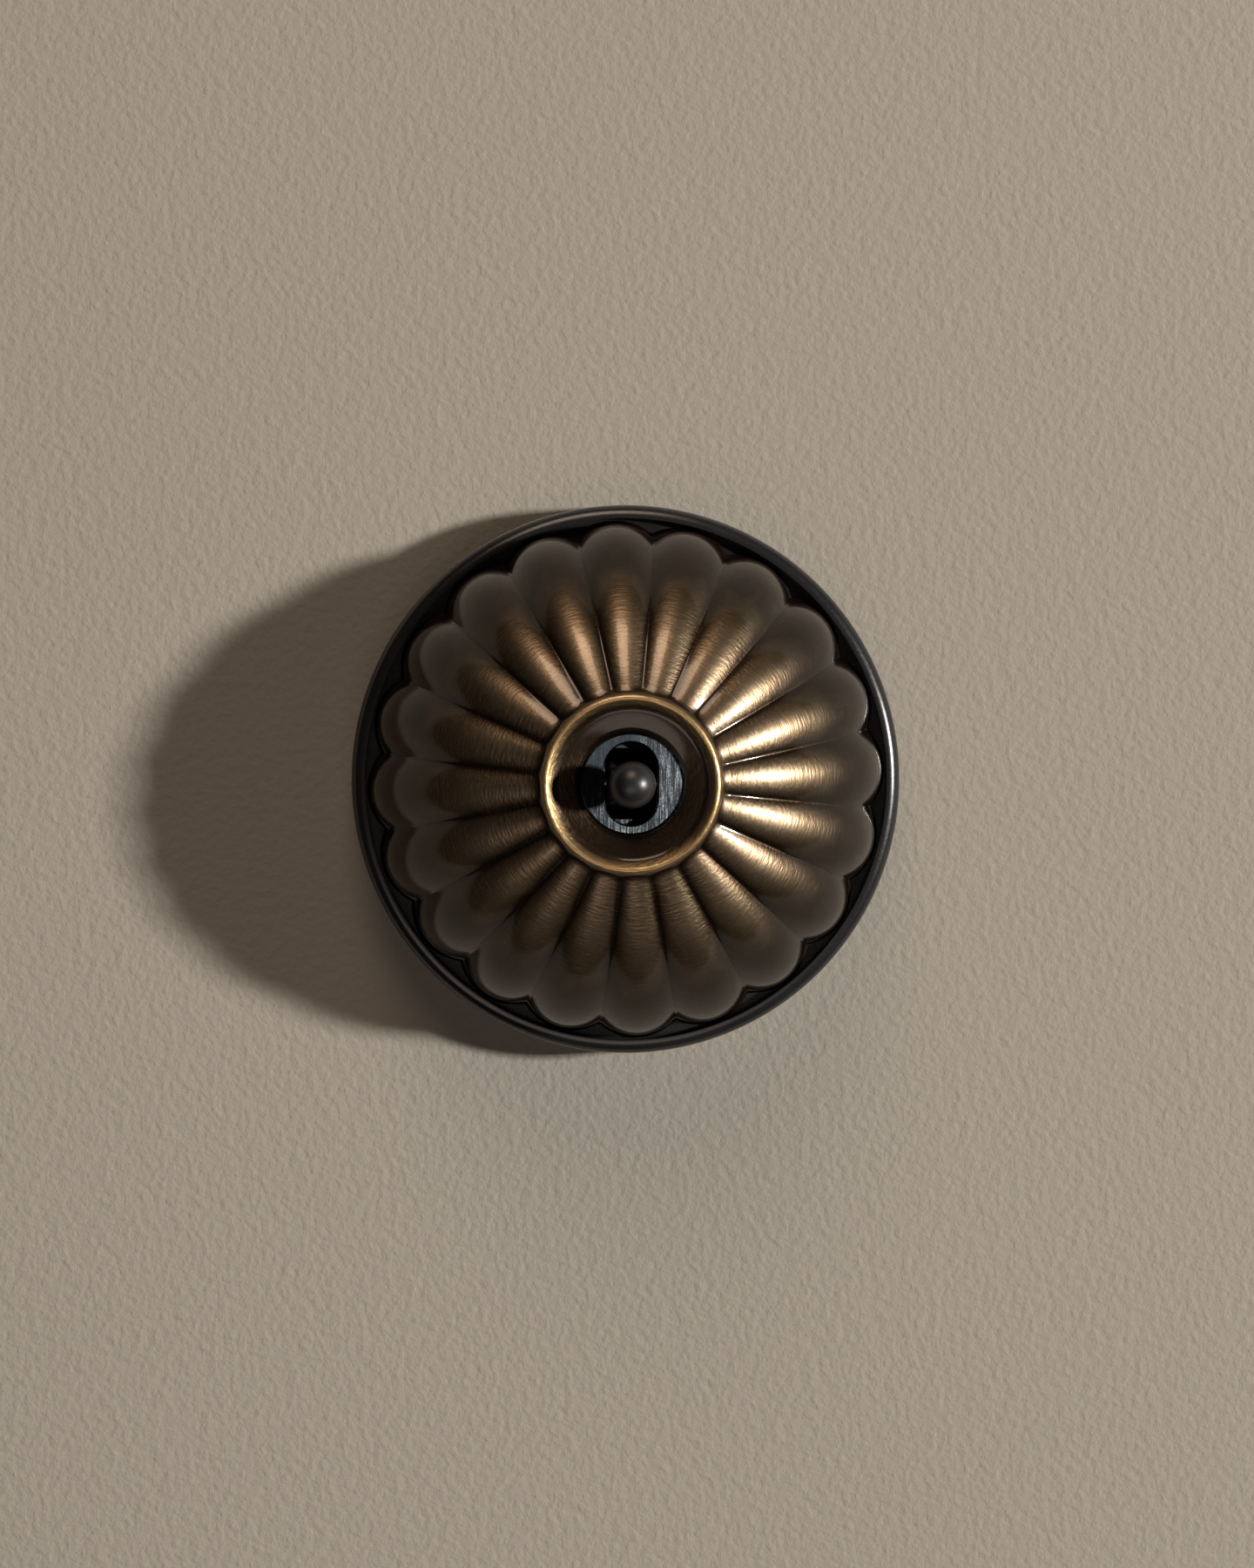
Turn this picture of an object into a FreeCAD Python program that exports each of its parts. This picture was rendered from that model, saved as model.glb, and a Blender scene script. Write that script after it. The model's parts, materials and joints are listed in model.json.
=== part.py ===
import FreeCAD, Part
import math
import os
import re
from FreeCAD import Placement, Rotation, Vector

# Dolly switch for a wall. Sizes in millimetres and degrees.
# Drawn with z out of the wall, y up and x to the right, then stood against the wall.

DRIVING_SIZES = {
    # Moulded base
    "base_radius": "41",
    "base_height": "10",
    "rim_width": "2",
    "rim_round": "1.9",
    "well_depth": "2",
    "well_gap": "0.3",
    "floor_thickness": "3.5",
    "recess_radius": "33",
    "wall_hole_spacing": "50.8",
    "wall_hole_radius": "2.25",
    "wall_boss_radius": "5.25",
    "cable_hole_radius": "7",
    "cable_hole_left": "16.5",
    "cable_hole_drop": "19",
    # Fluted cover
    "cover_rise": "31.3",
    "cover_wall": "1.2",
    "cover_turn": "2.7",
    "skirt_height": "2.5",
    "lip_width": "0.5",
    "lip_height": "1",
    "lobe_count": "20",
    "lobe_depth": "0.2",
    "crown_radius": "16.2",
    "crown_round": "1.6",
    "ring_radius": "12.5",
    "ring_round": "1",
    "ring_rise": "32.8",
    "dish_radius": "10.4",
    "dish_depth": "1.05",
    "mouth_radius": "8.1",
    "mouth_depth": "1.4",
    "collar_wall": "2",
    "collar_length": "8.4",
    # Nose and its nut
    "bush_radius": "7.4",
    "bush_sink": "1.7",
    "bush_length": "14.6",
    "bush_bevel": "0.25",
    "slot_width": "7.7",
    "slot_length": "12",
    "slot_lip": "2",
    "slot_room": "10.4",
    "nut_flats": "19",
    "nut_thickness": "2.5",
    # Dolly, pivot and plunger
    "pivot_depth": "8.1",
    "pin_radius": "1",
    "pin_inset": "0.3",
    "pin_gap": "0.05",
    "ball_radius": "3.4",
    "ball_reach": "13.5",
    "neck_radius": "1.9",
    "neck_root_radius": "2.9",
    "barrel_radius": "4.6",
    "barrel_gap": "0.4",
    "barrel_bevel": "0.7",
    "foot_radius": "2.4",
    "foot_length": "12",
    "plunger_radius": "1.4",
    "plunger_tip_radius": "0.6",
    "plunger_length": "6.4",
    "slide_gap": "0.05",
    "tip_gap": "0.02",
    "coil_radius": "1.25",
    "coil_wall": "0.5",
    "coil_length": "4.5",
    # Bridge
    "strip_thickness": "1.5",
    "bridge_width": "22",
    "bridge_span": "25",
    "tab_length": "6.5",
    "tab_width": "5",
    "window_height": "7",
    # Rocker and contacts
    "rocker_length": "19",
    "rocker_width": "6",
    "rocker_thickness": "1.8",
    "fulcrum_height": "4.8",
    "fulcrum_radius": "1",
    "fulcrum_gap": "0.08",
    "fulcrum_web": "1.4",
    "contact_width": "3.4",
    "contact_length": "2.4",
    "contact_thickness": "0.8",
    "contact_reach": "8",
    # Terminals
    "plate_thickness": "2",
    "plate_width": "7",
    "plate_inset": "1.5",
    "strap_thickness": "1.2",
    "strap_tail": "4",
    "block_width": "8",
    "block_length": "6.5",
    "block_height": "8.5",
    "block_reach": "14",
    "wire_hole_radius": "1.6",
    "wire_hole_depth": "5",
    "wire_hole_height": "5",
    # Screws
    "screw_gap": "0.05",
    "driver_width": "0.8",
    "driver_depth": "0.9",
    "bridge_screw_radius": "1.5",
    "bridge_screw_bite": "3.2",
    "bridge_head_radius": "2.7",
    "bridge_head_height": "1.8",
    "clamp_screw_radius": "1.4",
    "clamp_screw_rise": "1.4",
    "fixing_screw_radius": "1.3",
    "fixing_head_radius": "2.3",
    "fixing_head_height": "1.6",
    "fixing_place": "11.5",
    "earth_screw_radius": "1.5",
    "earth_screw_length": "4.5",
    "earth_head_radius": "2.8",
    "earth_height": "10.2",
    "earth_washer_radius": "3.4",
    "earth_washer_thickness": "0.5",
}

# Levels, radii and places that follow from the sizes above
DERIVED_SIZES = {
    "floor_level": "base_height - well_depth",
    "recess_depth": "floor_level - floor_thickness",
    "well_radius": "base_radius - rim_width",
    "cover_radius": "well_radius - well_gap - lip_width",
    "ring_level": "floor_level + ring_rise",
    "mouth_level": "ring_level - mouth_depth",
    "face_level": "ring_level - bush_sink",
    "pivot_level": "face_level - pivot_depth",
    "strip_level": "face_level - bush_length",
    "nut_level": "strip_level + strip_thickness",
    "collar_radius": "bush_radius + collar_wall",
    "collar_level": "mouth_level - collar_length",
    "barrel_length": "slot_width - 2 * barrel_gap",
    "fulcrum_level": "floor_level + fulcrum_height",
    "rocker_top": "fulcrum_level + rocker_thickness",
    "tip_level": "rocker_top + tip_gap",
    "plunger_end": "tip_level + plunger_length",
    "foot_level": "pivot_level - foot_length",
    "plate_level": "floor_level + plate_thickness",
    "block_level": "floor_level + block_height",
    "wire_level": "floor_level + wire_hole_height",
    "leg_face": "bridge_span / 2",
    "leg_middle": "leg_face - strip_thickness / 2",
    "tab_place": "leg_face + tab_length / 2",
    "tab_height": "bridge_width / 2 - tab_width / 2",
    "block_place": "block_reach + block_length / 2",
    "block_end": "block_reach + block_length",
    "earth_level": "floor_level + earth_height",
    "earth_seat": "leg_face + earth_washer_thickness",
}

ON_WALL = Placement(Vector(0, 0, 0), Rotation(Vector(1, 0, 0), 90))
ALONG_X = Rotation(Vector(0, 1, 0), 90)
ALONG_MINUS_X = Rotation(Vector(0, 1, 0), -90)
ALONG_Y = Rotation(Vector(1, 0, 0), -90)
TO_WALL = Rotation(Vector(1, 0, 0), 180)
AXIS = (Vector(0, 0, 0), Vector(0, 0, 1))
# How far up the crest each band of a lobe ends, closer together where the crest bends most
BAND_SHARES = (0.195, 0.325, 0.445, 0.585, 0.68, 0.785, 0.87, 0.935, 1.0)
NOSE_BANDS = 2
RIM_BEVELS = 3
RING_BEVELS = 3
DISH_BEVELS = 4
CAVITY_SHARES = (0.0, 0.45, 1.0)
OVERRUN = "1"
CLOSE = 0.001

doc = FreeCAD.newDocument("dolly_switch")
sheet = doc.addObject("Spreadsheet::Sheet", "sizes")
nodes = []


def write_sheet():
    rows = list(DRIVING_SIZES.items())
    rows += [(name, "=" + text) for name, text in DERIVED_SIZES.items()]
    for row, (name, text) in enumerate(rows, start=1):
        sheet.set("A%d" % row, name)
        sheet.set("B%d" % row, text)
        sheet.setAlias("B%d" % row, name)
    doc.recompute()


def size(name):
    return float(sheet.get(name))


def formula(text):
    """Point every size name in a formula at the sheet."""
    return re.sub(r"\b[a-z]+(?:_[a-z]+)+\b", r"sizes.\g<0>", text)


def bind(item, **sizes):
    for name, text in sizes.items():
        item.setExpression(name, formula(text))


def place(item, x="0", y="0", z="0", turn=None):
    if turn is not None:
        item.Placement = Placement(Vector(0, 0, 0), turn)
    for axis, text in (("x", x), ("y", y), ("z", z)):
        if text != "0":
            item.setExpression(".Placement.Base." + axis, formula(text))
    return item


def cylinder(name, radius, height, x="0", y="0", z="0", turn=None):
    item = doc.addObject("Part::Cylinder", name)
    bind(item, Radius=radius, Height=height)
    return place(item, x, y, z, turn)


def cone(name, low_radius, high_radius, height, x="0", y="0", z="0", turn=None):
    item = doc.addObject("Part::Cone", name)
    bind(item, Radius1=low_radius, Radius2=high_radius, Height=height)
    return place(item, x, y, z, turn)


def sphere(name, radius, z):
    item = doc.addObject("Part::Sphere", name)
    bind(item, Radius=radius)
    return place(item, z=z)


def block(name, length, width, height, x="0", y="0", z="0"):
    """Box centred on x and y, standing on z."""
    item = doc.addObject("Part::Box", name)
    bind(item, Length=length, Width=width, Height=height)
    return place(item, "%s - (%s) / 2" % (x, length), "%s - (%s) / 2" % (y, width), z)


def drill(name, radius, low, high, x="0", y="0"):
    """Round cutter along z that runs out past both of its levels."""
    return cylinder(name, radius, "%s - (%s) + 2 * %s" % (high, low, OVERRUN), x, y, "%s - %s" % (low, OVERRUN))


def fuse(name, items):
    item = doc.addObject("Part::MultiFuse", name)
    item.Shapes = items
    item.Refine = True
    return item


def cut(name, base, tools):
    item = doc.addObject("Part::Cut", name)
    item.Base = base
    item.Tool = tools[0] if len(tools) == 1 else fuse(name + "_tools", tools)
    item.Refine = True
    return item


def edges_where(item, test):
    """Numbers of an item's edges whose ends and middle all pass a test."""
    doc.recompute()
    found = []
    for number, edge in enumerate(item.Shape.Edges, start=1):
        middle = edge.valueAt((edge.FirstParameter + edge.LastParameter) / 2)
        if all(test(point) for point in [middle] + [vertex.Point for vertex in edge.Vertexes]):
            found.append(number)
    return found


def bevel(name, item, test, amount):
    """Chamfer of the edges that pass a test."""
    made = doc.addObject("Part::Chamfer", name)
    made.Base = item
    made.Edges = [(number, amount, amount) for number in edges_where(item, test)]
    return made


def group(name, items):
    item = doc.addObject("Part::Compound", name)
    item.Links = items
    return item


def node(item, label):
    item.Label = label
    item.Placement = ON_WALL
    nodes.append(item)


def driver_slot(name, head_radius, top):
    return block(name + "_slot", "2.2 * (%s)" % head_radius, "driver_width", "driver_depth",
                 z="%s - driver_depth" % top)


def screw(name, radius, length, head_radius, head_height, seat, turn=None):
    """Slotted screw: the seat is the point under its head, the head looks along z before the turn."""
    shank = cylinder(name + "_shank", radius, length, z="-(%s)" % length)
    head = cylinder(name + "_head", head_radius, head_height)
    slot = driver_slot(name, head_radius, head_height)
    item = cut(name + "_item", fuse(name + "_blank", [shank, head]), [slot])
    return place(item, *seat, turn=turn)


# Base

def bridge_screw_places():
    return [
        ("bridge_screw_right", "tab_place", "-tab_height"),
        ("bridge_screw_left", "-tab_place", "tab_height"),
    ]


def fixing_places():
    return [
        ("fixing_upper", "0", "fixing_place"),
        ("fixing_lower", "0", "-fixing_place"),
        ("fixing_common", "block_place", "0"),
    ]


def rim_bands():
    """Cones that follow the rounded rim, from the side of the base up to its top."""
    radius = "base_radius - rim_round * (1 - cos(%g))"
    bands = []
    for step in range(RIM_BEVELS):
        low = 90.0 * step / RIM_BEVELS
        high = 90.0 * (step + 1) / RIM_BEVELS
        bands.append(cone("base_rim_%d" % step, radius % low, radius % high,
                          "rim_round * (sin(%g) - sin(%g))" % (high, low),
                          z="base_height - rim_round * (1 - sin(%g))" % low))
    return bands


def make_base():
    disc = cylinder("base_disc", "base_radius", "base_height - rim_round")
    well = drill("base_well", "well_radius", "floor_level + " + OVERRUN, "base_height")
    recess = drill("base_recess", "recess_radius", "0", "recess_depth - " + OVERRUN)
    shell = cut("base_shell", fuse("base_blank", [disc] + rim_bands()), [well, recess])
    bosses = []
    tools = [drill("base_cable_hole", "cable_hole_radius", "0", "floor_level",
                   "-cable_hole_left", "-cable_hole_drop")]
    for side, x in (("right", "wall_hole_spacing / 2"), ("left", "-wall_hole_spacing / 2")):
        bosses.append(cylinder("base_boss_" + side, "wall_boss_radius", "floor_level", x))
        tools.append(drill("base_wall_hole_" + side, "wall_hole_radius", "0", "floor_level", x))
    for name, x, y in bridge_screw_places():
        tools.append(drill("base_%s_hole" % name, "bridge_screw_radius + screw_gap",
                           "floor_level - bridge_screw_bite", "floor_level", x, y))
    for name, x, y in fixing_places():
        tools.append(drill("base_%s_hole" % name, "fixing_screw_radius + screw_gap", "recess_depth",
                           "floor_level", x, y))
    node(cut("base_item", fuse("base_body", [shell] + bosses), tools), "base")


# Fluted cover

def lobe_spread():
    return math.tan(math.pi / size("lobe_count"))


def valley_depth(radius, normal):
    """Depth of the valleys below the crest, square to the dome, so that every section has the same roundness."""
    share = 2 * size("lobe_depth") * lobe_spread()
    return share * radius / (1 + share * normal.x)


def lobe_arc(radius, level, normal):
    """Round section of one lobe, from valley over crest to valley, at one place up the crest."""
    depth = valley_depth(radius, normal)
    x = radius - depth * normal.x
    y = x * lobe_spread()
    z = level - depth * normal.z
    return Part.Arc(Vector(x, -y, z), Vector(radius, 0, level), Vector(x, y, z)).toShape()


def dome_station(share):
    """Place and outward direction on the elliptical crest, from the skirt (0) to the crown (1)."""
    radius, rise = size("cover_radius"), size("cover_rise")
    angle = share * math.acos(size("crown_radius") / radius)
    level = size("floor_level") + size("skirt_height") + rise * math.sin(angle)
    normal = Vector(math.cos(angle) / radius, 0, math.sin(angle) / rise).normalize()
    return radius * math.cos(angle), level, normal


def crest_stations():
    """Lip, skirt, dome and the rounded nose that each lobe turns down beside the ring."""
    floor = size("floor_level")
    outward = Vector(1, 0, 0)
    stations = [
        (size("cover_radius") + size("lip_width"), floor, outward),
        (size("cover_radius"), floor + size("lip_height"), outward),
    ]
    stations += [dome_station(share) for share in BAND_SHARES]
    radius, level, normal = stations[-1]
    bend = size("crown_round")
    middle = Vector(radius, 0, level) - normal * bend
    start = math.atan2(normal.z, normal.x)
    for step in range(1, NOSE_BANDS + 1):
        angle = start + (math.pi - start) * step / NOSE_BANDS
        normal = Vector(math.cos(angle), 0, math.sin(angle))
        point = middle + normal * bend
        stations.append((point.x, point.z, normal))
    return stations


def ring_of(shape):
    """Copies of one lobe's shape all round the axis."""
    count = int(size("lobe_count"))
    copies = []
    for step in range(count):
        copy = shape.copy()
        copy.rotate(*AXIS, size("cover_turn") + 360.0 * step / count)
        copies.append(copy)
    return copies


def flat_cap(arc):
    return Part.Face(Part.Wire(Part.__sortEdges__(ring_of(arc))))


def fluted_dome(stations):
    arcs = [lobe_arc(*station) for station in stations]
    faces = [flat_cap(arcs[0]), flat_cap(arcs[-1])]
    for low, high in zip(arcs, arcs[1:]):
        faces += ring_of(Part.makeRuledSurface(low, high))
    shell = Part.makeCompound(faces)
    shell.sewShape()
    solid = Part.Solid(Part.Shell(shell.Faces))
    if solid.Volume < 0:
        solid.reverse()
    return solid


def turned(profile):
    """Solid turned about the axis from pairs of radius and level."""
    points = [Vector(radius, 0, level) for radius, level in profile]
    return Part.Face(Part.makePolygon(points + points[:1])).revolve(*AXIS, 360)


def ring_bead(groove_level):
    """Raised ring, round on its outer side, that falls softly to a shallow dish with the mouth in its middle."""
    radius, bend, level = size("ring_radius"), size("ring_round"), size("ring_level")
    low = groove_level - size("cover_wall")
    profile = [(0, low), (radius + bend, low)]
    for step in range(RING_BEVELS + 1):
        angle = math.pi / 2 * step / RING_BEVELS
        profile.append((radius + bend * math.cos(angle), level - bend + bend * math.sin(angle)))
    for step in range(1, DISH_BEVELS + 1):
        share = step / DISH_BEVELS
        fall = size("dish_depth") * (1 - math.cos(math.pi * share)) / 2
        profile.append((radius - (radius - size("dish_radius")) * share, level - fall))
    profile += [(size("mouth_radius"), size("mouth_level")), (0, size("mouth_level"))]
    return turned(profile)


def cover_cavity():
    """Plain inside of the cover, a wall's thickness below the valleys, round the threaded collar."""
    low = size("floor_level") - size("cover_wall")
    wall_points = []
    for share in CAVITY_SHARES:
        radius, level, normal = dome_station(share)
        sunk = valley_depth(radius, normal) + size("cover_wall")
        wall_points.append((radius - sunk * normal.x, level - sunk * normal.z))
    collar, collar_level = size("collar_radius"), size("collar_level")
    top = wall_points[-1][1]
    profile = [(0, low), (wall_points[0][0], low)] + wall_points
    return turned(profile + [(collar, top), (collar, collar_level), (0, collar_level)])


def cover_bore():
    """Threaded hole for the nose, opening into the dish of the ring."""
    bore, mouth, level = size("bush_radius"), size("mouth_radius"), size("mouth_level")
    low = size("collar_level") - size("cover_wall")
    high = level + size("cover_wall")
    return turned([(0, low), (bore, low), (bore, level - (mouth - bore)), (mouth, level), (mouth, high), (0, high)])


def make_cover():
    stations = crest_stations()
    dome = fluted_dome(stations).fuse(ring_bead(stations[-1][1]))
    item = doc.addObject("Part::Feature", "cover_item")
    item.Shape = dome.cut(cover_cavity()).cut(cover_bore()).removeSplitter()
    node(item, "fluted_cover")


# Nose, bridge and their fixings

def make_nose_bush():
    barrel = cylinder("bush_barrel", "bush_radius", "bush_length", z="strip_level")
    reach = "(slot_length - slot_width) / 2"
    tools = [
        block("bush_slot_room", "slot_width", "slot_room", "bush_length - slot_lip + " + OVERRUN,
              z="strip_level - " + OVERRUN),
        block("bush_slot_middle", "slot_width", "slot_length - slot_width", "bush_length + 2 * " + OVERRUN,
              z="strip_level - " + OVERRUN),
        drill("bush_slot_upper", "slot_width / 2", "face_level - slot_lip + " + OVERRUN, "face_level", y=reach),
        drill("bush_slot_lower", "slot_width / 2", "face_level - slot_lip + " + OVERRUN, "face_level", y="-" + reach),
        cylinder("bush_pin_hole", "pin_radius", "2 * (bush_radius + %s)" % OVERRUN,
                 "-bush_radius - " + OVERRUN, z="pivot_level", turn=ALONG_X),
    ]
    face = size("face_level")
    body = cut("bush_body", barrel, tools)
    bevelled = bevel("bush_item", body, lambda point: abs(point.z - face) < CLOSE, size("bush_bevel"))
    node(bevelled, "nose_bush")


def make_lock_nut():
    nut = doc.addObject("Part::Prism", "nut_prism")
    nut.Polygon = 6
    bind(nut, Circumradius="nut_flats / sqrt(3)", Height="nut_thickness")
    place(nut, z="nut_level")
    hole = drill("nut_hole", "bush_radius", "nut_level", "nut_level + nut_thickness")
    node(cut("nut_item", nut, [hole]), "lock_nut")


def make_bridge_frame():
    pieces = [block("bridge_plate", "bridge_span", "bridge_width", "strip_thickness", z="strip_level")]
    tools = [drill("bridge_nose_hole", "bush_radius", "strip_level", "nut_level")]
    for (name, x, y), sign in zip(bridge_screw_places(), ("", "-")):
        pieces.append(block(name + "_leg", "strip_thickness", "bridge_width", "nut_level - floor_level",
                            sign + "leg_middle", z="floor_level"))
        pieces.append(block(name + "_tab", "tab_length", "tab_width", "strip_thickness", x, y, "floor_level"))
        tools.append(block(name + "_window", "strip_thickness + 2 * " + OVERRUN, "bridge_width - 2 * tab_width",
                           "window_height + " + OVERRUN, sign + "leg_middle", z="floor_level - " + OVERRUN))
        tools.append(drill(name + "_tab_hole", "bridge_screw_radius + screw_gap", "floor_level",
                           "floor_level + strip_thickness", x, y))
    tools.append(cylinder("bridge_earth_hole", "earth_screw_radius", "strip_thickness + 2 * " + OVERRUN,
                          "-leg_face - " + OVERRUN, z="earth_level", turn=ALONG_X))
    node(cut("bridge_item", fuse("bridge_blank", pieces), tools), "bridge_frame")


def make_bridge_screws():
    items = []
    for name, x, y in bridge_screw_places():
        items.append(screw(name, "bridge_screw_radius", "bridge_screw_bite + strip_thickness",
                           "bridge_head_radius", "bridge_head_height",
                           (x, y, "floor_level + strip_thickness")))
    node(group("bridge_screws_item", items), "bridge_screws")


def make_earth_fixing():
    washer = cylinder("earth_washer_disc", "earth_washer_radius", "earth_washer_thickness", "-earth_seat",
                      z="earth_level", turn=ALONG_X)
    hole = cylinder("earth_washer_hole", "earth_screw_radius + screw_gap",
                    "earth_washer_thickness + 2 * " + OVERRUN, "-earth_seat - " + OVERRUN,
                    z="earth_level", turn=ALONG_X)
    node(cut("earth_washer_item", washer, [hole]), "earth_washer")
    item = screw("earth_screw", "earth_screw_radius", "earth_screw_length", "earth_head_radius",
                 "bridge_head_height", ("-earth_seat", "0", "earth_level"), ALONG_MINUS_X)
    node(group("earth_screw_group", [item]), "earth_screw")


# Dolly, pivot and plunger

def make_dolly():
    barrel = cylinder("dolly_barrel_blank", "barrel_radius", "barrel_length", "-barrel_length / 2",
                      z="pivot_level", turn=ALONG_X)
    barrel_end = size("barrel_length") / 2
    pieces = [
        sphere("dolly_ball", "ball_radius", "pivot_level + ball_reach"),
        cone("dolly_neck", "neck_root_radius", "neck_radius", "ball_reach", z="pivot_level"),
        bevel("dolly_barrel", barrel, lambda point: abs(abs(point.x) - barrel_end) < CLOSE, size("barrel_bevel")),
        cylinder("dolly_foot", "foot_radius", "foot_length", z="foot_level"),
    ]
    tools = [
        cylinder("dolly_pin_hole", "pin_radius + pin_gap", "slot_width", "-slot_width / 2", z="pivot_level",
                 turn=ALONG_X),
        cylinder("dolly_bore", "plunger_radius + slide_gap", "plunger_end + coil_length - foot_level + " + OVERRUN,
                 z="foot_level - " + OVERRUN),
    ]
    node(cut("dolly_item", fuse("dolly_blank", pieces), tools), "dolly")


def make_pivot_pin():
    pin = cylinder("pin_rod", "pin_radius", "2 * (bush_radius - pin_inset)", "pin_inset - bush_radius",
                   z="pivot_level", turn=ALONG_X)
    node(group("pin_item", [pin]), "pivot_pin")


def make_plunger():
    tip = cone("plunger_tip", "plunger_tip_radius", "plunger_radius", "plunger_radius", z="tip_level")
    stem = cylinder("plunger_stem", "plunger_radius", "plunger_length - plunger_radius",
                    z="tip_level + plunger_radius")
    node(fuse("plunger_item", [tip, stem]), "plunger")


def make_plunger_spring():
    outside = cylinder("spring_outside", "coil_radius", "coil_length", z="plunger_end")
    inside = drill("spring_inside", "coil_radius - coil_wall", "plunger_end", "plunger_end + coil_length")
    node(cut("spring_item", outside, [inside]), "plunger_spring")


# Rocker and contacts

def make_rocker():
    bar = block("rocker_bar", "rocker_width", "rocker_length", "rocker_thickness", z="fulcrum_level")
    notch = cylinder("rocker_notch", "fulcrum_radius + fulcrum_gap", "rocker_width + 2 * " + OVERRUN,
                     "-rocker_width / 2 - " + OVERRUN, z="fulcrum_level", turn=ALONG_X)
    node(cut("rocker_item", bar, [notch]), "rocker")


def make_contacts():
    for label, level in (("rocker_contacts", "fulcrum_level - contact_thickness"), ("fixed_contacts", "plate_level")):
        items = []
        for end, sign in (("upper", ""), ("lower", "-")):
            items.append(block("%s_%s" % (label, end), "contact_width", "contact_length", "contact_thickness",
                               y=sign + "contact_reach", z=level))
        node(group(label + "_item", items), label)


# Terminals

def make_outer_terminal(label, sign):
    start = "contact_reach - plate_inset"
    plate = block(label + "_plate", "plate_width", "block_end - (%s)" % start, "plate_thickness",
                  y="%s(block_end + %s) / 2" % (sign, start), z="floor_level")
    body = block(label + "_block", "block_width", "block_length", "block_height", y=sign + "block_place",
                 z="floor_level")
    tools = [
        drill(label + "_fixing_hole", "fixing_screw_radius + screw_gap", "floor_level", "plate_level",
              y=sign + "fixing_place"),
        drill(label + "_clamp_hole", "clamp_screw_radius", "wire_level + " + OVERRUN, "block_level",
              y=sign + "block_place"),
        cylinder(label + "_wire_hole", "wire_hole_radius", "wire_hole_depth + " + OVERRUN,
                 y="block_end - wire_hole_depth" if not sign else "-block_end - " + OVERRUN,
                 z="wire_level", turn=ALONG_Y),
    ]
    node(cut(label + "_item", fuse(label + "_blank", [plate, body]), tools), label)


def make_common_terminal():
    pieces = [
        block("common_strap", "block_reach + strap_tail", "rocker_width", "strap_thickness",
              "(block_reach - strap_tail) / 2", z="floor_level"),
        block("common_web", "rocker_width", "fulcrum_web", "fulcrum_height", z="floor_level"),
        cylinder("common_fulcrum", "fulcrum_radius", "rocker_width", "-rocker_width / 2", z="fulcrum_level",
                 turn=ALONG_X),
        block("common_block", "block_length", "block_width", "block_height", "block_place", z="floor_level"),
    ]
    tools = [
        cylinder("common_fixing_hole", "fixing_screw_radius + screw_gap", "plate_thickness + " + OVERRUN,
                 "block_place", z="floor_level - " + OVERRUN),
        drill("common_clamp_hole", "clamp_screw_radius", "wire_level + " + OVERRUN, "block_level", "block_place"),
        cylinder("common_wire_hole", "wire_hole_radius", "wire_hole_depth + " + OVERRUN,
                 "block_end - wire_hole_depth", z="wire_level", turn=ALONG_X),
    ]
    node(cut("common_item", fuse("common_blank", pieces), tools), "common_terminal")


def make_terminal_screws():
    items = []
    for name, x, y in (("clamp_upper", "0", "block_place"), ("clamp_lower", "0", "-block_place"),
                       ("clamp_common", "block_place", "0")):
        rod = cylinder(name + "_rod", "clamp_screw_radius", "block_level + clamp_screw_rise - wire_level")
        slot = driver_slot(name, "clamp_screw_radius", "block_level + clamp_screw_rise - wire_level")
        items.append(place(cut(name + "_item", rod, [slot]), x, y, "wire_level"))
    node(group("terminal_screws_item", items), "terminal_screws")


def make_terminal_fixing_screws():
    items = []
    for name, x, y in fixing_places():
        items.append(screw(name, "fixing_screw_radius", "floor_thickness + plate_thickness",
                           "fixing_head_radius", "fixing_head_height", (x, y, "recess_depth"), TO_WALL))
    node(group("terminal_fixing_screws_item", items), "terminal_fixing_screws")


def check_all():
    doc.recompute()
    for item in doc.Objects:
        if "Invalid" in item.State or "Error" in item.State:
            raise RuntimeError("%s did not build: %s" % (item.Name, item.State))
    for item in nodes:
        if item.Shape.isNull() or not item.Shape.isValid():
            raise RuntimeError("%s has no sound shape" % item.Label)


def export_all():
    os.makedirs("parts", exist_ok=True)
    for item in nodes:
        item.Shape.exportStep("parts/%s.step" % item.Label)


write_sheet()
make_base()
make_cover()
make_nose_bush()
make_lock_nut()
make_bridge_frame()
make_bridge_screws()
make_earth_fixing()
make_dolly()
make_pivot_pin()
make_plunger()
make_plunger_spring()
make_rocker()
make_contacts()
make_outer_terminal("upper_terminal", "")
make_outer_terminal("lower_terminal", "-")
make_common_terminal()
make_terminal_screws()
make_terminal_fixing_screws()
check_all()
export_all()
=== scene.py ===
import json
import math

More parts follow.
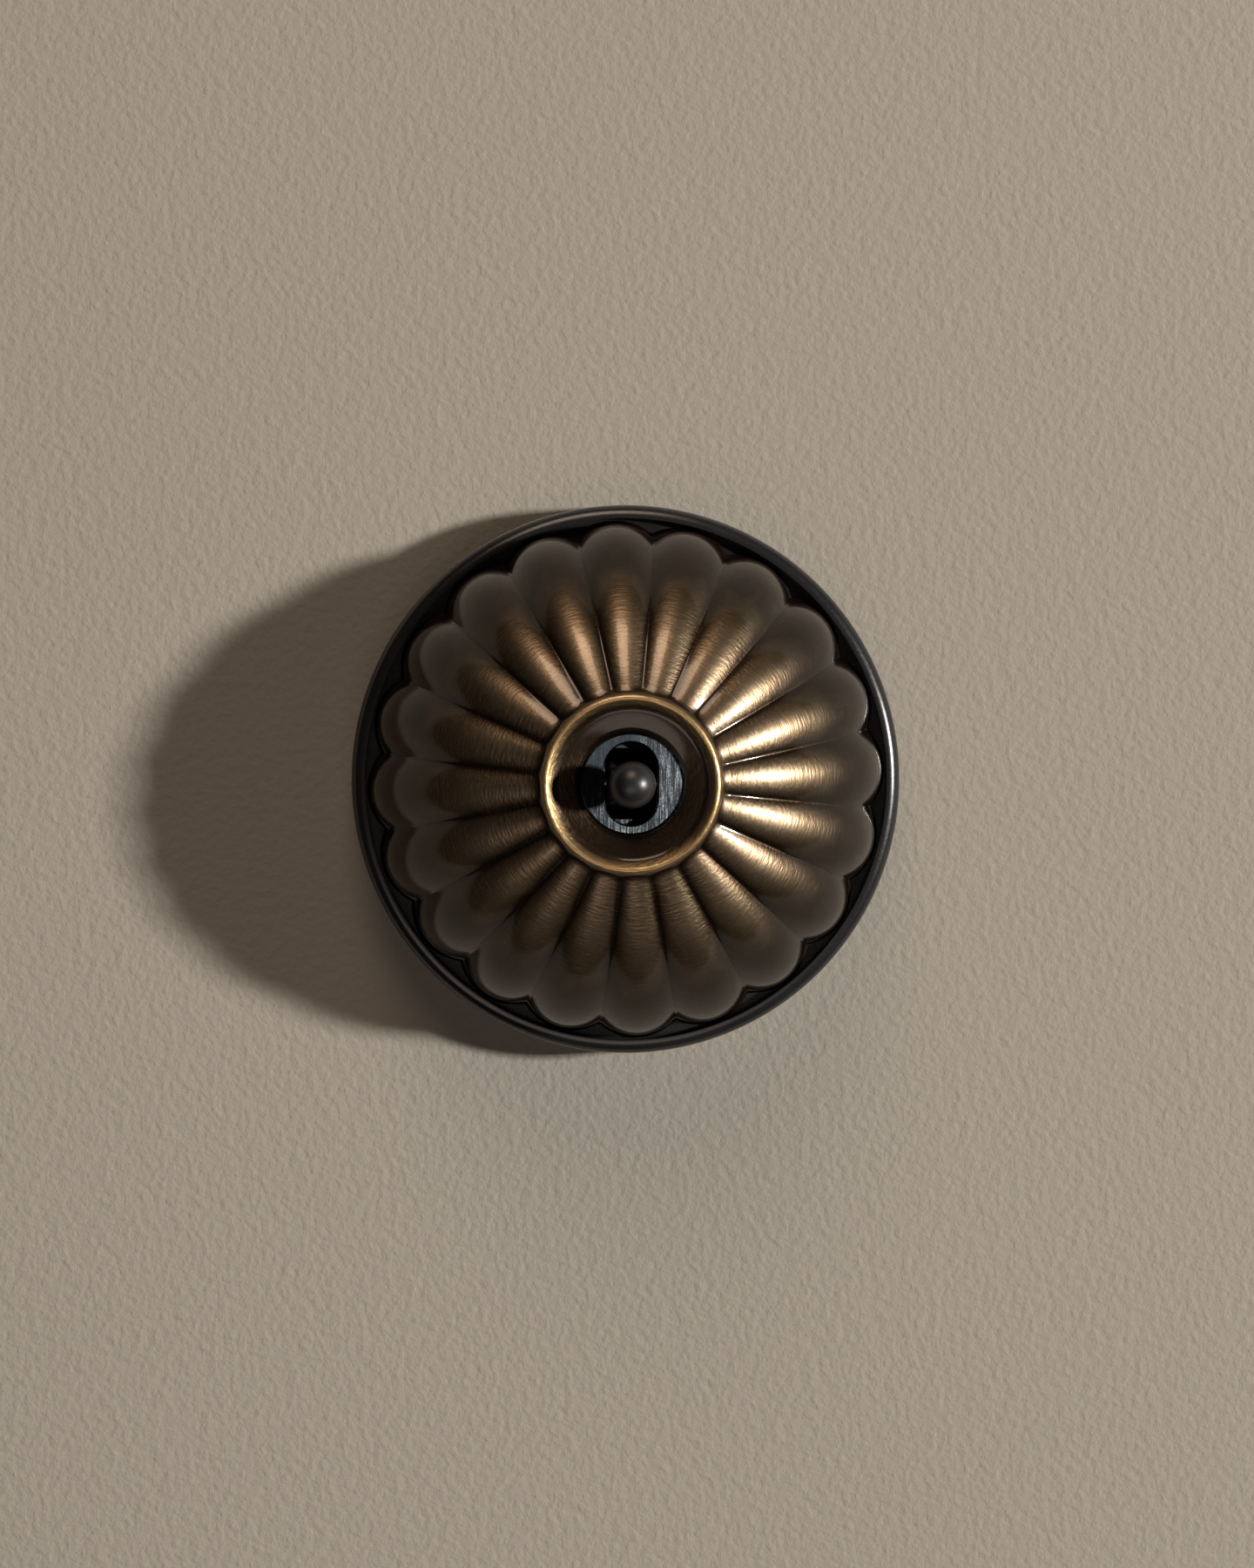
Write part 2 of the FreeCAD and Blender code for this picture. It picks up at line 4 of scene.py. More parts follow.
import bmesh
import bpy
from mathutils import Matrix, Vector


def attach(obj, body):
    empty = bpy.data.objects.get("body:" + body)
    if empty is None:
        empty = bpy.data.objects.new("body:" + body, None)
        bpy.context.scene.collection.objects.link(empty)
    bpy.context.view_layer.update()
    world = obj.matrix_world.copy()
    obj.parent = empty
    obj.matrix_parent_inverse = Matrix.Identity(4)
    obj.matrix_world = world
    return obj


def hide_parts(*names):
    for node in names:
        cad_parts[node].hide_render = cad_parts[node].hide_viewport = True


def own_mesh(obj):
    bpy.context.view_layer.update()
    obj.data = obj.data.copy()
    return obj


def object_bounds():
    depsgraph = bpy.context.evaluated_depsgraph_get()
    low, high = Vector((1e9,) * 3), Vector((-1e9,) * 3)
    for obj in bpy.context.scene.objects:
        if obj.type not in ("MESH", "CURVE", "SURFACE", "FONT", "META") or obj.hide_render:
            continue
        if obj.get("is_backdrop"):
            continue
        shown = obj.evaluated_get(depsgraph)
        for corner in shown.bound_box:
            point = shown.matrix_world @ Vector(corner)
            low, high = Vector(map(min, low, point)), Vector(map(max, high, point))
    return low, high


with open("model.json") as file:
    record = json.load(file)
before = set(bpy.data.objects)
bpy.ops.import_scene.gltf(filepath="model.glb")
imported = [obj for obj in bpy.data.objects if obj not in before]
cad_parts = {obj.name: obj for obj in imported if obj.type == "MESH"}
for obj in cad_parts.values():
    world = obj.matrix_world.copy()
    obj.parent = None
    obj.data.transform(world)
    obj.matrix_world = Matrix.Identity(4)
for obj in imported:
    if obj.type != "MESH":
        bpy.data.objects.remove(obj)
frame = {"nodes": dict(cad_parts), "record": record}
cad_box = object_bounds()

MM = 0.001
SHARP_ANGLE = math.radians(32)

# Cover: radii about the axis and levels out from the wall, in millimetres
LOBES = 20
LOBE_TURN = math.radians(2.7)
LOBE_DEPTH = 0.2
LOBE_STEPS = 28
VALLEY_ROUND = 0.12
DOME_STEPS = 44
JOIN_STEPS = 12
FLOOR_LEVEL = 8.0
COVER_RADIUS = 38.2
COVER_RISE = 31.3
COVER_WALL = 1.2
SKIRT_HEIGHT = 2.5
LIP_WIDTH = 0.5
LIP_HEIGHT = 1.0
CROWN_RADIUS = 16.2
JOIN_RADIUS = 14.6
RING_RADIUS = 12.5
RING_ROUND = 0.55
RING_FOOT_ANGLE = math.radians(25)
RING_DISH_ANGLE = math.radians(130)
RING_GLOW = 0.75
RING_LEVEL = 40.8
RING_STEPS = 14
DISH_RADIUS = 10.4
DISH_DEPTH = 1.05
DISH_STEPS = 14
MOUTH_RADIUS = 8.1
MOUTH_DEPTH = 1.4
MOUTH_BEVEL = 0.15
MOUTH_LIFT = 0.02
MOUTH_DROP = 0.03
BUSH_RADIUS = 7.4
COLLAR_RADIUS = 9.4
COLLAR_LEVEL = 31.0
CAVITY_STEPS = 8

# Base, with places across (x) and up (z) from the axis
BASE_RADIUS = 41.0
BASE_HEIGHT = 10.0
RIM_ROUND = 1.9
RIM_STEPS = 14
WELL_RADIUS = 39.0
RECESS_RADIUS = 33.0
RECESS_DEPTH = 4.5
BACK_BEVEL = 0.3
BASE_STEPS = 200
CENTRE_RADIUS = 0.5
CUT_MARGIN = 1.0
HOLE_STEPS = 48
WALL_HOLE_PLACE = 25.4
WALL_HOLE_RADIUS = 2.25
BOSS_RADIUS = 5.25
CABLE_HOLE = (-16.5, -19.0, 7.0)
BRIDGE_SCREW_HOLES = ((15.75, -8.5, 1.55), (-15.75, 8.5, 1.55))
FIXING_HOLES = ((0.0, 11.5, 1.35), (0.0, -11.5, 1.35), (17.25, 0.0, 1.35))

# Dolly
PIVOT_LEVEL = 31.0
BALL_LEVEL = 44.5
BALL_RADIUS = 3.4
NECK_RADIUS = 1.9
NECK_ROOT_RADIUS = 2.9
BARREL_RADIUS = 4.6
BARREL_HALF = 3.45
BARREL_ROUND = 0.8
FOOT_RADIUS = 2.4
FOOT_LEVEL = 19.0
BORE_RADIUS = 1.45
BORE_END = 25.52
FOOT_OVERLAP = 1.0
NECK_FLARE = 0.35
NECK_FLARE_DROP = 1.2
NECK_SWELL = 0.05
NECK_SWELL_DROP = 0.35
AXIS_RADIUS = 0.0001
BALL_STEPS = 28
STEM_STEPS = 64
BARREL_STEPS = 72
BARREL_ROUND_STEPS = 8

# Plunger spring
SPRING_LOW = 21.02
SPRING_HIGH = 25.52
SPRING_RADIUS = 1.0
SPRING_WIRE = 0.2
SPRING_TURNS = 7
SPRING_TURN_STEPS = 24
SPRING_SIDES = 10

# Camera and light, in metres and degrees
FRAME_HEIGHT = 0.2365
CAMERA_DISTANCE = 1.0
CAMERA_FROM_LEFT = 1.5
CAMERA_FROM_ABOVE = 1.3
AIM = Vector((0.0004, 0.0, -0.0009))
SENSOR = 36.0
WALL_GAP = 0.0003
WALL_SIZE = 3.0
KEY_DISTANCE = 3.0
KEY_OFF_WALL = 35.0
KEY_ABOVE = 4.0
KEY_SIZE = (0.24, 0.24)
KEY_POWER = 152.0
KEY_TINT = (1.0, 0.965, 0.92)
FILL_DISTANCE = 2.0
FILL_FROM_RIGHT = -8.0
FILL_ABOVE = 52.0
FILL_SIZE = (0.9, 0.9)
FILL_POWER = 13.0
FILL_TINT = (1.0, 0.78, 0.6)
FRONT_DISTANCE = 1.4
FRONT_FROM_RIGHT = -8.0
FRONT_ABOVE = -24.0
FRONT_SIZE = (1.0, 0.6)
FRONT_POWER = 2.7
FRONT_TINT = (1.0, 0.85, 0.78)
BACK_DIRECTION = Vector((0.2, 1.0, 0.5)).normalized()
BACK_DISTANCE = 1.0
BACK_SIZE = (0.8, 0.8)
BACK_POWER = 12.0
BACK_TINT = (1.0, 1.0, 1.0)
WORLD_TINT = (0.95, 0.96, 1.0)
WORLD_STRENGTH = 0.01


# Mesh helpers

def polar_point(radius, angle, level):
    """Point about the switch's axis: angle counted from the right, seen from the front."""
    return Vector((radius * math.cos(angle), -level, radius * math.sin(angle))) * MM


def loft_faces(rows, columns, closed):
    """Quads between rows of points that each go once round."""
    faces = []
    for row in range(rows if closed else rows - 1):
        after = (row + 1) % rows
        for column in range(columns):
            side = (column + 1) % columns
            faces.append((row * columns + column, row * columns + side,
                          after * columns + side, after * columns + column))
    return faces


def face_outward(mesh):
    """Turn all faces so that they look out."""
    work = bmesh.new()
    work.from_mesh(mesh)
    bmesh.ops.recalc_face_normals(work, faces=work.faces)
    work.to_mesh(mesh)
    work.free()


def smooth_faces(mesh):
    """Smooth shading everywhere but over sharp edges."""
    mesh.polygons.foreach_set("use_smooth", [True] * len(mesh.polygons))
    mesh.set_sharp_from_angle(angle=SHARP_ANGLE)


def make_piece(name, points, faces, body, slot, replaced, attributes=None):
    """Piece of the visual model, on its body, in its slot and in place of the nodes that it replaces."""
    mesh = bpy.data.meshes.new(name)
    mesh.from_pydata(points, [], faces)
    for label, values in (attributes or {}).items():
        mesh.attributes.new(label, "FLOAT", "POINT").data.foreach_set("value", values)
    face_outward(mesh)
    smooth_faces(mesh)
    piece = bpy.data.objects.new(name, mesh)
    bpy.context.scene.collection.objects.link(piece)
    mesh.materials.append(materials[slot])
    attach(piece, body)
    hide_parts(*replaced)
    return piece


def arc_points(middle, radius, start, end, steps):
    """Points of an arc in a plane of radius and level, both ends among them."""
    points = []
    for step in range(steps + 1):
        angle = start + (end - start) * step / steps
        points.append((middle[0] + radius * math.cos(angle), middle[1] + radius * math.sin(angle)))
    return points


# Materials: radii in metres, colours and the scales of noise round the axis

LOBES_START = (0.0134, 0.0142)
# Radii of the band where the cover's crests are lighter: partly wear, partly painted highlight where the key
# light's highlight falls.
WEAR_AND_SHEEN_GROWS = (0.0135, 0.0205)
WEAR_AND_SHEEN_FADES = (0.022, 0.0325)
BRUSHING_SCALES = (5200, 5, 5200)
RIPPLE_SCALES = (2300, 9, 2300)
PATCH_SCALES = (160, 9, 160)
RIPPLE_HEIGHT = 0.00009
BRUSHING_SHARE = 0.2
PLAIN_METALS = {
    "plain_brass": ((0.55, 0.37, 0.15), (0.76, 0.56, 0.27), (0.26, 0.42)),
    "screw_brass": ((0.6, 0.41, 0.17), (0.82, 0.62, 0.32), (0.2, 0.34)),
    "steel": ((0.42, 0.42, 0.43), (0.62, 0.62, 0.63), (0.24, 0.38)),
    "silver": ((0.66, 0.65, 0.62), (0.85, 0.85, 0.83), (0.2, 0.34)),
}


class Shader:
    """A material's node tree, with short ways to add and join its nodes."""

    def __init__(self, name):
        self.material = bpy.data.materials.new(name)
        self.material.use_nodes = True
        self.tree = self.material.node_tree
        self.surface = self.tree.nodes["Principled BSDF"]

    def feed(self, socket, value):
        if isinstance(value, bpy.types.NodeSocket):
            self.tree.links.new(value, socket)
        else:
            socket.default_value = value

    def add(self, kind, sockets=None, **settings):
        made = self.tree.nodes.new("ShaderNode" + kind)
        for name, value in settings.items():
            setattr(made, name, value)
        for name, value in (sockets or {}).items():
            self.feed(made.inputs[name], value)
        return made

    def math(self, operation, *values):
        made = self.add("Math", operation=operation)
        for socket, value in zip(made.inputs, values):
            self.feed(socket, value)
        return made.outputs[0]

    def place(self):
        """Place in the switch's own frame, in metres."""
        parts = self.add("SeparateXYZ", {"Vector": self.add("TexCoord").outputs["Object"]})
        return parts.outputs["X"], parts.outputs["Y"], parts.outputs["Z"]

    def polar(self):
        """Radius from the axis, angle about it and level, in metres and radians."""
        x, y, z = self.place()
        radius = self.math("SQRT", self.math("ADD", self.math("MULTIPLY", x, x), self.math("MULTIPLY", z, z)))
        return radius, self.math("ARCTAN2", z, x), y

    def noise(self, parts, scales, detail=3.0, roughness=0.55):
        """Noise over parts of a place, each stretched by its own scale."""
        stretched = [self.math("MULTIPLY", part, scale) for part, scale in zip(parts, scales)]
        vector = self.add("CombineXYZ", dict(zip("XYZ", stretched))).outputs[0]
        return self.add("TexNoise", {"Vector": vector, "Scale": 1.0, "Detail": detail,
                                     "Roughness": roughness}).outputs["Fac"]

    def spread(self, value, low, high, to_low, to_high):
        """A value's range from low to high, spread over another range and held there."""
        return self.add("MapRange", {"Value": value, "From Min": low, "From Max": high, "To Min": to_low,
                                     "To Max": to_high}, clamp=True).outputs["Result"]

    def mix(self, share, first, second):
        made = self.add("Mix", data_type="RGBA")
        for index, value in ((0, share), (6, first), (7, second)):
            self.feed(made.inputs[index], value)
        return made.outputs[2]

    def round_about(self, axis):
        """Direction round one of the piece's axes, which brushing follows."""
        return self.add("Tangent", direction_type="RADIAL", axis=axis).outputs["Tangent"]

    def attribute(self, name):
        return self.add("Attribute", attribute_name=name).outputs["Fac"]

    def bump(self, height, distance, strength=1.0):
        made = self.add("Bump", {"Height": height, "Distance": distance, "Strength": strength})
        self.feed(self.surface.inputs["Normal"], made.outputs["Normal"])

    def finish(self, **sockets):
        for name, value in sockets.items():
            self.feed(self.surface.inputs[name.replace("_", " ")], value)
        return self.material


def colour(red, green, blue):
    return (red, green, blue, 1.0)


def antique_brass():
    """Dark lacquered brass, brushed round the axis, lighter on the lobes' crests and the ring: partly wear,
    partly painted highlight.
    """
    shader = Shader("antique_brass")
    polar = shader.polar()
    radius = polar[0]
    brushing = shader.noise(polar, BRUSHING_SCALES, detail=4)
    ripples = shader.noise(polar, RIPPLE_SCALES, detail=2)
    patches = shader.noise(polar, PATCH_SCALES, detail=5)
    crest = shader.attribute("crest")
    ring = shader.attribute("ring")
    aged_brown = colour(0.034, 0.022, 0.013)
    aged_dark = colour(0.02, 0.012, 0.007)
    crest_wear_sheen_brass = colour(0.3, 0.217, 0.135)
    ring_wear_sheen_brass = colour(0.56, 0.38, 0.18)
    lobes = shader.spread(radius, *LOBES_START, 0, 1)
    spots = shader.math("MULTIPLY", lobes, shader.spread(patches, 0.4, 0.6, 0, 1))
    aged = shader.mix(spots, aged_brown, aged_dark)
    # Crests lighter in a band round the crown: partly wear, partly painted highlight.
    handled_and_lit = shader.math("MULTIPLY", shader.spread(radius, *WEAR_AND_SHEEN_GROWS, 0.55, 1.0),
                          shader.spread(radius, *WEAR_AND_SHEEN_FADES, 1.0, 0.04))
    rubbed_and_lit = shader.math("MULTIPLY", shader.spread(crest, 0.1, 1.0, 0.06, 1.0), handled_and_lit)
    wear_and_sheen = shader.math("ADD", rubbed_and_lit, shader.spread(patches, 0.4, 0.75, -0.14, 0.08))
    bright = shader.math("MULTIPLY", lobes, shader.spread(wear_and_sheen, 0, 1, 0, 1))
    body = shader.mix(bright, aged, crest_wear_sheen_brass)
    # Lighter ring crest: partly wear, partly painted highlight.
    edge = shader.math("MULTIPLY", ring, shader.spread(brushing, 0.2, 0.6, 0.7, 1.0))
    height = shader.math("ADD", shader.math("MULTIPLY", brushing, BRUSHING_SHARE), ripples)
    shader.bump(height, RIPPLE_HEIGHT)
    return shader.finish(
        Base_Color=shader.mix(edge, body, ring_wear_sheen_brass),
        Metallic=1.0,
        Roughness=shader.spread(brushing, 0.25, 0.75, 0.37, 0.45),
        Specular_Tint=colour(0.4, 0.36, 0.32),
        Anisotropic=0.25,
        Anisotropic_Rotation=0.25,
        Tangent=shader.round_about("Y"),
        Coat_Weight=1.0,
        Coat_Roughness=0.13,
        Coat_IOR=1.42,
    )


def black_moulding():
    """Polished black moulding with faint scratches and dust."""
    shader = Shader("black_moulding")
    place = shader.place()
    scratches = shader.noise(place, (2400, 2400, 2400), detail=5, roughness=0.6)
    cloud = shader.noise(place, (90, 90, 90), detail=4)
    shader.bump(scratches, 0.00001, 0.15)
    return shader.finish(
        Base_Color=shader.mix(cloud, colour(0.006, 0.006, 0.006), colour(0.016, 0.015, 0.015)),
        Roughness=shader.spread(scratches, 0.35, 0.75, 0.21, 0.3),
        Specular_IOR_Level=0.5,
    )


def black_nose():
    """Black face brushed up and down, with bright specks where the brushing cut through, kept mostly to the
    lower right as painted highlight on the lit side.
    """
    shader = Shader("black_nose")
    place = shader.place()
    streaks = shader.noise(place, (4200, 4200, 260), detail=5, roughness=0.7)
    specks = shader.noise(place, (9000, 9000, 2600), detail=2)
    # Painted highlight: specks brighter towards the lower right, the side the light falls on.
    lit_lower_right = shader.spread(shader.math("SUBTRACT", place[0], place[2]), -0.007, 0.006, 0.1, 1)
    bright = shader.math("MULTIPLY", shader.spread(streaks, 0.46, 0.66, 0, 1),
                         shader.spread(specks, 0.45, 0.65, 0.15, 1))
    cut = shader.math("MULTIPLY", bright, lit_lower_right)
    shader.bump(streaks, 0.00003, 0.5)
    return shader.finish(
        Base_Color=shader.mix(cut, colour(0.018, 0.022, 0.0255), colour(0.38, 0.415, 0.44)),
        Metallic=1.0,
        Roughness=shader.spread(streaks, 0.3, 0.7, 0.42, 0.52),
        Anisotropic=0.9,
        Tangent=shader.round_about("Z"),
    )


def black_dolly():
    """Satin black with a fine grain."""
    shader = Shader("black_dolly")
    place = shader.place()
    grain = shader.noise(place, (5200, 5200, 5200), detail=3)
    cloud = shader.noise(place, (420, 420, 420), detail=3)
    shader.bump(grain, 0.00002, 0.3)
    return shader.finish(
        Base_Color=shader.mix(cloud, colour(0.0072, 0.007, 0.0068), colour(0.0145, 0.0142, 0.014)),
        Roughness=shader.spread(grain, 0.3, 0.7, 0.3, 0.42),
    )


def plain_metal(name, dark, bright, low_roughness, high_roughness):
    """Machined metal with fine tool marks and a little tarnish."""
    shader = Shader(name)
    place = shader.place()
    marks = shader.noise(place, (600, 3800, 3800), detail=4)
    tarnish = shader.noise(place, (230, 230, 230), detail=5)
    shader.bump(marks, 0.00001, 0.25)
    return shader.finish(
        Base_Color=shader.mix(shader.spread(tarnish, 0.35, 0.65, 0, 1), dark, bright),
        Metallic=1.0,
        Roughness=shader.spread(marks, 0.3, 0.7, low_roughness, high_roughness),
    )


def plunger_fibre():
    """Red-brown fibre with a fine grain along its length."""
    shader = Shader("plunger_fibre")
    place = shader.place()
    fibres = shader.noise(place, (5000, 700, 5000), detail=4)
    shader.bump(fibres, 0.00003, 0.4)
    return shader.finish(
        Base_Color=shader.mix(fibres, colour(0.2, 0.09, 0.05), colour(0.36, 0.19, 0.11)),
        Roughness=shader.spread(fibres, 0.3, 0.7, 0.5, 0.7),
    )


def wall_paint():
    """Pale matt wall that is only there from its front, so that the back of the switch can be looked at."""
    shader = Shader("wall_paint")
    place = shader.place()
    cloud = shader.noise(place, (7, 7, 7), detail=3)
    roll = shader.noise(place, (800, 800, 800), detail=3)
    shader.bump(roll, 0.0003, 0.9)
    shader.finish(
        Base_Color=shader.mix(cloud, colour(0.246, 0.224, 0.186), colour(0.261, 0.239, 0.2)),
        Roughness=0.85,
    )
    clear = shader.add("BsdfTransparent")
    choice = shader.add("MixShader", {0: shader.add("NewGeometry").outputs["Backfacing"],
                                      1: shader.surface.outputs[0], 2: clear.outputs[0]})
    shader.feed(shader.tree.nodes["Material Output"].inputs["Surface"], choice.outputs[0])
    return shader.material


def make_materials():
    """One material for each slot of the record."""
    made = {
        "antique_brass": antique_brass(),
        "black_moulding": black_moulding(),
        "black_nose": black_nose(),
        "black_dolly": black_dolly(),
    }
    for name, (dark, bright, roughness) in PLAIN_METALS.items():
        made[name] = plain_metal(name, colour(*dark), colour(*bright), *roughness)
    made["plunger_fibre"] = plunger_fibre()
    return made


# Cover

def valley_depth(radius, normal):
    """Depth of the solid's valleys, which the plain inside keeps clear of."""
    share = 2 * LOBE_DEPTH * math.tan(math.pi / LOBES)
    return share * radius / (1 + share * normal[0])


def dome_station(share):
    """Radius, level and outward direction on the elliptical crest, from the skirt (0) to the crown (1)."""
    angle = share * math.acos(CROWN_RADIUS / COVER_RADIUS)
    normal = Vector((math.cos(angle) / COVER_RADIUS, math.sin(angle) / COVER_RISE)).normalized()
    return COVER_RADIUS * math.cos(angle), FLOOR_LEVEL + SKIRT_HEIGHT + COVER_RISE * math.sin(angle), normal


def meeting_point(first, first_way, second, second_way):
    """Where two lines of the radius and level plane cross, each given by a point and a direction."""
    gap = second - first
    return first + first_way * (gap.cross(second_way) / first_way.cross(second_way))


def bend_points(start, start_way, end, end_way, steps):
    """Points of a smooth bend that leaves start and reaches end in their directions, without start itself."""
    corner = meeting_point(start, start_way, end, end_way)
    points = []
    for step in range(1, steps + 1):
        share = step / steps
        points.append(start * (1 - share) ** 2 + corner * (2 * share * (1 - share)) + end * share ** 2)
    return points


def ring_place(angle):
    """Place on the ring's round crest, and the direction in which the profile goes on there."""
    outward = Vector((math.cos(angle), math.sin(angle)))
    middle = Vector((RING_RADIUS, RING_LEVEL - RING_ROUND))
    return middle + outward * RING_ROUND, Vector((-outward[1], outward[0]))


def crest_stations():
    """Radius, level, outward direction and share of the full lobe, from the foot up to the ring."""
    outward = Vector((1, 0))
    stations = [
        (COVER_RADIUS + LIP_WIDTH, FLOOR_LEVEL, outward, 1),
        (COVER_RADIUS + LIP_WIDTH, FLOOR_LEVEL + LIP_HEIGHT / 2, outward, 1),
        (COVER_RADIUS, FLOOR_LEVEL + LIP_HEIGHT, outward, 1),
    ]
    end = math.acos(JOIN_RADIUS / COVER_RADIUS) / math.acos(CROWN_RADIUS / COVER_RADIUS)
    stations += [(*dome_station(end * step / DOME_STEPS), 1) for step in range(DOME_STEPS + 1)]
    radius, level, normal, _ = stations[-1]
    join = bend_points(Vector((radius, level)), Vector((-normal[1], normal[0])), *ring_place(RING_FOOT_ANGLE),
                       JOIN_STEPS)
    for step, point in enumerate(join, start=1):
        stations.append((*point, normal, 1 - (step / JOIN_STEPS) ** 2))
    return stations


def lobe_places():
    """Places across one lobe, from valley (-1) to valley (1), closer together near the valleys."""
    even = [2 * step / LOBE_STEPS - 1 for step in range(LOBE_STEPS)]
    return [1.5 * place - 0.5 * place ** 3 for place in even]


def valley_round(rise, depth):
    """Height above the valley once its sharp floor is rounded, with valley and crest where they were."""
    full = math.hypot(depth, VALLEY_ROUND) - VALLEY_ROUND
    return depth * (math.hypot(rise, VALLEY_ROUND) - VALLEY_ROUND) / full


def lobe_angle(radius):
    """Half the angle of a lobe's arc, which falls a little from the foot to the ring."""
    at_foot = math.sin(2 * math.atan(2 * LOBE_DEPTH))
    return math.asin(at_foot * math.sqrt(min(1, radius / COVER_RADIUS)))


def lobe_row(radius, level, normal, share):
    """One row of points over all the lobes, and how near each lies to its lobe's crest."""
    half_angle = lobe_angle(radius)
    slope = math.tan(half_angle / 2) * math.tan(math.pi / LOBES)
    depth = slope * radius / (1 + slope * normal[0])
    valley = radius - depth * normal[0]
    bend = valley * math.tan(math.pi / LOBES) / math.sin(half_angle)
    points, crests = [], []
    for lobe in range(LOBES):
        turn = LOBE_TURN + 2 * math.pi * lobe / LOBES
        for place in lobe_places():
            angle = half_angle * place
            rise = valley_round(bend * (math.cos(angle) - math.cos(half_angle)), depth)
            along = valley + rise * normal[0]
            side = bend * math.sin(angle)
            reach = radius + (math.hypot(along, side) - radius) * share
            points.append(polar_point(reach, turn + math.atan2(side, along),
                                      level - (depth - rise) * normal[1] * share))
            crests.append(share * rise / depth)
    return points, crests


def turned_row(radius, level):
    """One plain round row, with as many points as a row over the lobes."""
    points = []
    for lobe in range(LOBES):
        points += [polar_point(radius, LOBE_TURN + math.pi * (2 * lobe + place) / LOBES, level)
                   for place in lobe_places()]
    return points


def ring_profile():
    """Ring crest, dish and bore, then the collar and the plain inside back to the foot."""
    middle = (RING_RADIUS, RING_LEVEL - RING_ROUND)
    crest = arc_points(middle, RING_ROUND, RING_FOOT_ANGLE, RING_DISH_ANGLE, RING_STEPS)
    dish_edge = Vector((DISH_RADIUS, RING_LEVEL - DISH_DEPTH))
    profile = crest[1:]
    profile += bend_points(*ring_place(RING_DISH_ANGLE), dish_edge, Vector((-1, 0)), DISH_STEPS)
    mouth_level = RING_LEVEL - MOUTH_DEPTH
    profile += [
        (MOUTH_RADIUS + MOUTH_BEVEL, mouth_level + MOUTH_LIFT),
        (MOUTH_RADIUS, mouth_level - MOUTH_DROP),
        (MOUTH_RADIUS - MOUTH_BEVEL, mouth_level - MOUTH_BEVEL),
        (BUSH_RADIUS, mouth_level - (MOUTH_RADIUS - BUSH_RADIUS)),
        (BUSH_RADIUS, COLLAR_LEVEL),
        (COLLAR_RADIUS, COLLAR_LEVEL),
    ]
    inside = []
    for step in range(CAVITY_STEPS + 1):
        radius, level, normal = dome_station(step / CAVITY_STEPS)
        sunk = valley_depth(radius, normal) + COVER_WALL
        inside.append((radius - sunk * normal[0], level - sunk * normal[1]))
    profile.append((COLLAR_RADIUS, inside[-1][1]))
    profile += inside[::-1]
    profile.append((inside[0][0], FLOOR_LEVEL))
    return profile


def ring_share(radius, level):
    """One on the crest of the ring, falling to none down its sides; it lightens the crest's colour, partly
    wear, partly painted highlight.
    """
    if not DISH_RADIUS < radius < JOIN_RADIUS:
        return 0.0
    return max(0.0, 1.0 - (RING_LEVEL - level) / RING_GLOW)


def make_cover():
    """Cover as one closed skin: lobes, ring, dish, bore and inside, with its crests marked for the wear and
    the painted highlight.
    """
    points, crests, rings = [], [], []
    for station in crest_stations():
        row, crest = lobe_row(*station)
        points += row
        crests += crest
        rings += [ring_share(*station[:2])] * len(row)
    for radius, level in ring_profile():
        row = turned_row(radius, level)
        points += row
        crests += [0.0] * len(row)
        rings += [ring_share(radius, level)] * len(row)
    columns = LOBES * LOBE_STEPS
    faces = loft_faces(len(points) // columns, columns, closed=True)
    make_piece("cover_fluted", points, faces, "housing", "antique_brass", ["fluted_cover"],
               {"crest": crests, "ring": rings})


# Turned and cut shapes

def lathe(profile, steps, place):
    """Points and faces turned from pairs of radius and distance, with a point on the axis at each end."""
    points, faces = [place(0, 0, profile[0][1])], []
    for radius, distance in profile:
        points += [place(radius, 2 * math.pi * step / steps, distance) for step in range(steps)]
    points.append(place(0, 0, profile[-1][1]))
    last = len(points) - 1
    for face in loft_faces(len(profile), steps, closed=False):
        faces.append(tuple(1 + index for index in face))
    for step in range(steps):
        side = (step + 1) % steps
        faces.append((0, 1 + step, 1 + side))
        faces.append((last, last - steps + side, last - steps + step))
    return points, faces


def round_bar(x, z, radius, low, high):
    """Mesh object of a plain round bar along the axis, used to add or cut away."""
    centre = polar_point(math.hypot(x, z), math.atan2(z, x), 0)

    def place(reach, angle, level):
        return centre + polar_point(reach, angle, level)

    points, faces = lathe([(radius, low), (radius, high)], HOLE_STEPS, place)
    mesh = bpy.data.meshes.new("bar")
    mesh.from_pydata(points, [], faces)
    face_outward(mesh)
    bar = bpy.data.objects.new("bar", mesh)
    bpy.context.scene.collection.objects.link(bar)
    return bar


def combine(piece, bars, operation):
    """Add bars to a piece or cut them out of it, for good."""
    for bar in bars:
        change = piece.modifiers.new("change", "BOOLEAN")
        change.operation = operation
        change.solver = "EXACT"
        change.object = bar
    bpy.context.view_layer.update()
    shaped = bpy.data.meshes.new_from_object(piece.evaluated_get(bpy.context.evaluated_depsgraph_get()))
    piece.modifiers.clear()
    piece.data = shaped
    for bar in bars:
        bpy.data.objects.remove(bar)


# Base

